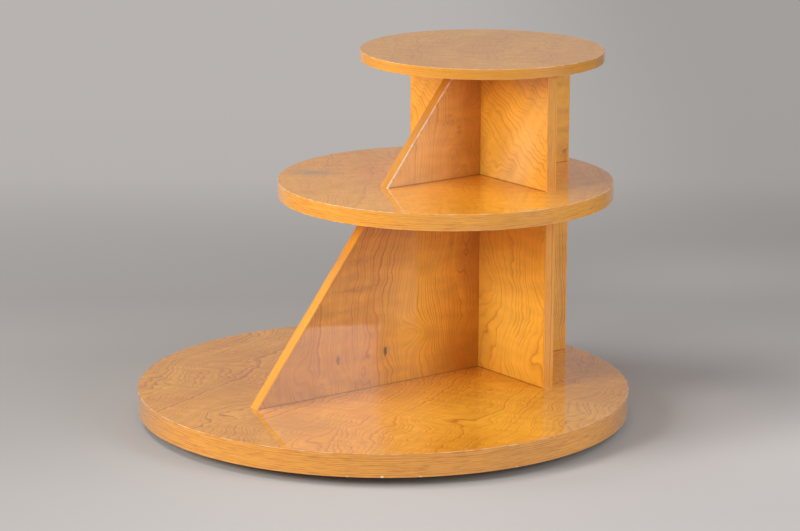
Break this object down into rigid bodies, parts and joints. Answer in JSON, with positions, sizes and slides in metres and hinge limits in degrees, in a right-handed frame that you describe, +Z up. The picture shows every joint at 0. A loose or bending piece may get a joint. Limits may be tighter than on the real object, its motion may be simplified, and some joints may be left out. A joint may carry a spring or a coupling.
{
  "type": "tiered side table",
  "caption": "Low side table of stepped round shelves that share a tangent line at the back, carried by crossed upright panels with a sloping front fin.",
  "frame": {"origin": "on the floor, under the centre of the round base", "axes": "+Z up; -X towards the front, along the fin; +X towards the back, where the three shelves share a tangent line; +Y to the left of someone who stands in front of the fin"},
  "size_m": [0.9, 0.9, 0.658],
  "materials": {
    "figured_veneer": "honey-coloured figured veneer under gloss lacquer",
    "edge_wood": "straight-grained edge wood under gloss lacquer",
    "softwood": "planed, bare",
    "stained_hardwood": "dark stain, satin",
    "beech": "bare",
    "felt": "pressed felt",
    "screw_steel": "plain steel, slotted countersunk heads"
  },
  "bodies": {
    "root": {"base_edge_band": "edge_wood", "base_rail_back_left": "softwood", "base_rail_back_right": "softwood", "base_rail_front_left": "softwood", "base_rail_front_right": "softwood", "base_rail_long": "softwood", "base_ring_segment_1": "softwood", "base_ring_segment_2": "softwood", "base_ring_segment_3": "softwood", "base_ring_segment_4": "softwood", "base_ring_segment_5": "softwood", "base_ring_segment_6": "softwood", "base_ring_segment_7": "softwood", "base_ring_segment_8": "softwood", "base_screw_back": "screw_steel", "base_screw_fin_1": "screw_steel", "base_screw_fin_2": "screw_steel", "base_screw_fin_3": "screw_steel", "base_screw_left": "screw_steel", "base_screw_right": "screw_steel", "base_top_board": "figured_veneer", "foot_back_left": "stained_hardwood", "foot_back_right": "stained_hardwood", "foot_front_left": "stained_hardwood", "foot_front_right": "stained_hardwood", "foot_pad_back_left": "felt", "foot_pad_back_right": "felt", "foot_pad_front_left": "felt", "foot_pad_front_right": "felt", "foot_screw_back_left": "screw_steel", "foot_screw_back_right": "screw_steel", "foot_screw_front_left": "screw_steel", "foot_screw_front_right": "screw_steel", "lower_back_lipping": "edge_wood", "lower_cross_panel": "figured_veneer", "lower_fin_lipping": "edge_wood", "lower_fin_panel": "figured_veneer", "lower_left_lipping": "edge_wood", "lower_right_lipping": "edge_wood", "middle_board": "figured_veneer", "middle_dowel_back": "beech", "middle_dowel_fin": "beech", "middle_dowel_left": "beech", "middle_dowel_right": "beech", "middle_edge_band": "edge_wood", "top_board": "figured_veneer", "top_dowel_back": "beech", "top_dowel_fin": "beech", "top_dowel_left": "beech", "top_dowel_right": "beech", "top_edge_band": "edge_wood", "upper_back_lipping": "edge_wood", "upper_cross_panel": "figured_veneer", "upper_fin_lipping": "edge_wood", "upper_fin_panel": "figured_veneer", "upper_left_lipping": "edge_wood", "upper_right_lipping": "edge_wood"}
  },
  "joints": []
}
